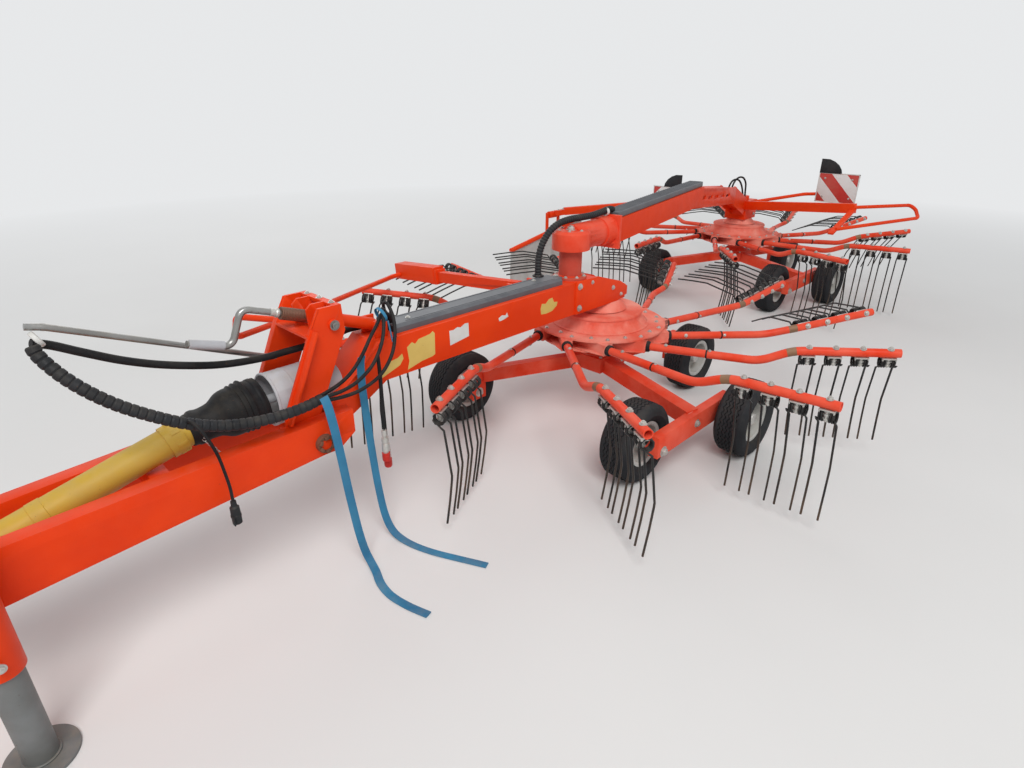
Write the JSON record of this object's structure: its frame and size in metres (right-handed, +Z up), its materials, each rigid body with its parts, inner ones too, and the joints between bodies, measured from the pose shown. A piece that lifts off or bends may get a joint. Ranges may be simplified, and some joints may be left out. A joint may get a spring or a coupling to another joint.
{
  "type": "twin rotor hay rake",
  "caption": "Drawn rake with two tined rotors in line under a main beam and a swinging rear beam, on small wheels, with guards, side curtain and drawbar jack.",
  "frame": {"origin": "on the ground under the middle of the whole machine's box", "axes": "+Z up, +Y forwards to the hitch along the machine, +X to the right of travel"},
  "size_m": [3.6808, 8.7814, 1.232],
  "materials": {
    "orange_paint": "weathered",
    "tyre": "dusty",
    "rim_white": "dirty",
    "spring_steel": "worn",
    "zinc": "galvanised",
    "black_plastic": "matt",
    "black_rubber": "matt",
    "yellow_plastic": "faded",
    "bare_steel": "dull",
    "grey_paint": "worn",
    "curtain_sheet": "dirty",
    "blue_strap": "faded",
    "warning_panel": "striped"
  },
  "bodies": {
    "main": {"beam_f": "orange_paint", "cover_f": "black_plastic", "shaft_can": "bare_steel", "post": "orange_paint", "gearbox_f": "orange_paint", "chassis_f": "orange_paint", "brackets_f": "orange_paint", "hose_bundle": "black_rubber", "hose_fan": "black_rubber", "drop_hoses": "black_rubber", "lead": "black_rubber", "straps": "blue_strap"},
    "guard_front": {"guard_f": "orange_paint"},
    "drawbar": {"drawbar": "orange_paint", "tower": "orange_paint", "power_shaft": "yellow_plastic", "bellows": "black_rubber", "yoke": "bare_steel", "hose_rod": "bare_steel"},
    "headstock": {"headstock": "orange_paint"},
    "jack": {"jack_leg": "grey_paint"},
    "spindle": {"spindle": "orange_paint"},
    "crank": {"crank": "bare_steel"},
    "rotor_front": {"rotor_f_hub": "orange_paint", "rotor_f_arms": "orange_paint", "rotor_f_tines": "spring_steel", "rotor_f_clamps": "zinc"},
    "rear_beam": {"swivel": "orange_paint", "beam_r": "orange_paint", "cover_r": "black_plastic", "gearbox_r": "orange_paint", "guard_r": "orange_paint", "guard_l": "orange_paint", "panels": "warning_panel", "panel_fins": "black_plastic", "panel_arms": "orange_paint", "rear_hoses": "black_rubber"},
    "curtain": {"curtain": "curtain_sheet", "curtain_bar": "orange_paint"},
    "chassis_rear": {"chassis_r": "orange_paint"},
    "rotor_rear": {"rotor_r_hub": "orange_paint", "rotor_r_arms": "orange_paint", "rotor_r_tines": "spring_steel", "rotor_r_clamps": "zinc"},
    "wheel_f1": {"tyre_f1": "tyre", "rim_f1": "rim_white"},
    "wheel_f2": {"tyre_f2": "tyre", "rim_f2": "rim_white"},
    "wheel_f3": {"tyre_f3": "tyre", "rim_f3": "rim_white"},
    "wheel_f4": {"tyre_f4": "tyre", "rim_f4": "rim_white"},
    "wheel_r1": {"tyre_r1": "tyre", "rim_r1": "rim_white"},
    "wheel_r2": {"tyre_r2": "tyre", "rim_r2": "rim_white"},
    "wheel_r3": {"tyre_r3": "tyre", "rim_r3": "rim_white"},
    "wheel_r4": {"tyre_r4": "tyre", "rim_r4": "rim_white"}
  },
  "joints": [
    {"name": "drawbar_pitch", "type": "hinge", "parent": "main", "child": "drawbar", "pos_m": [-0.35, 2.19, 0.58], "axis": [1, 0, 0], "range_deg": [0, 5]},
    {"name": "headstock_yaw", "type": "hinge", "parent": "drawbar", "child": "headstock", "pos_m": [-0.35, 4.25, 0.5], "axis": [0, 0, 1], "range_deg": [-35, 35]},
    {"name": "jack_lift", "type": "slide", "parent": "drawbar", "child": "jack", "axis": [0, 0, 1], "range_m": [0, 0.3]},
    {"name": "spindle_tilt", "type": "hinge", "parent": "drawbar", "child": "spindle", "pos_m": [-0.35, 2.066, 0.99], "axis": [1, 0, 0], "range_deg": [-6, 1]},
    {"name": "crank_turn", "type": "hinge", "parent": "spindle", "child": "crank", "pos_m": [-0.35, 2.163, 1.0229], "axis": [0, 0.9463, 0.3234], "continuous": true},
    {"name": "guard_front_lift", "type": "hinge", "parent": "main", "child": "guard_front", "pos_m": [-0.216, 0.82, 0.828], "axis": [0, -1, 0], "range_deg": [0, 45]},
    {"name": "rotor_front_turn", "type": "hinge", "parent": "main", "child": "rotor_front", "pos_m": [-0.35, 0.3, 0.52], "axis": [0, 0, -1], "continuous": true},
    {"name": "rear_swing", "type": "hinge", "parent": "main", "child": "rear_beam", "pos_m": [-0.35, 0.59, 1.05], "axis": [0, 0, 1], "range_deg": [-11, 18]},
    {"name": "curtain_fold", "type": "hinge", "parent": "rear_beam", "child": "curtain", "pos_m": [1.4, -1.285, 0.78], "axis": [0, -1, 0], "range_deg": [0, 80]},
    {"name": "rear_steer", "type": "hinge", "parent": "rear_beam", "child": "chassis_rear", "pos_m": [0.35, -2.86, 0.4], "axis": [0, 0, 1], "range_deg": [-15, 15]},
    {"name": "rotor_rear_turn", "type": "hinge", "parent": "rear_beam", "child": "rotor_rear", "pos_m": [0.35, -2.86, 0.52], "axis": [0, 0, -1], "continuous": true},
    {"name": "wheel_f1_turn", "type": "hinge", "parent": "main", "child": "wheel_f1", "pos_m": [0.13, 0.96, 0.205], "axis": [1, 0, 0], "continuous": true},
    {"name": "wheel_f2_turn", "type": "hinge", "parent": "main", "child": "wheel_f2", "pos_m": [-0.97, 0.8, 0.205], "axis": [1, 0, 0], "continuous": true},
    {"name": "wheel_f3_turn", "type": "hinge", "parent": "main", "child": "wheel_f3", "pos_m": [-1.24, 0.19, 0.205], "axis": [1, 0, 0], "continuous": true},
    {"name": "wheel_f4_turn", "type": "hinge", "parent": "main", "child": "wheel_f4", "pos_m": [-0.59, -0.38, 0.205], "axis": [1, 0, 0], "continuous": true},
    {"name": "wheel_r1_turn", "type": "hinge", "parent": "chassis_rear", "child": "wheel_r1", "pos_m": [0.83, -2.2, 0.205], "axis": [1, 0, 0], "continuous": true},
    {"name": "wheel_r2_turn", "type": "hinge", "parent": "chassis_rear", "child": "wheel_r2", "pos_m": [-0.27, -2.36, 0.205], "axis": [1, 0, 0], "continuous": true},
    {"name": "wheel_r3_turn", "type": "hinge", "parent": "chassis_rear", "child": "wheel_r3", "pos_m": [-0.54, -2.97, 0.205], "axis": [1, 0, 0], "continuous": true},
    {"name": "wheel_r4_turn", "type": "hinge", "parent": "chassis_rear", "child": "wheel_r4", "pos_m": [0.11, -3.54, 0.205], "axis": [1, 0, 0], "continuous": true}
  ],
  "couplings": [
    {"joint": "spindle_tilt", "follows": "drawbar_pitch", "ratio": -1}
  ]
}
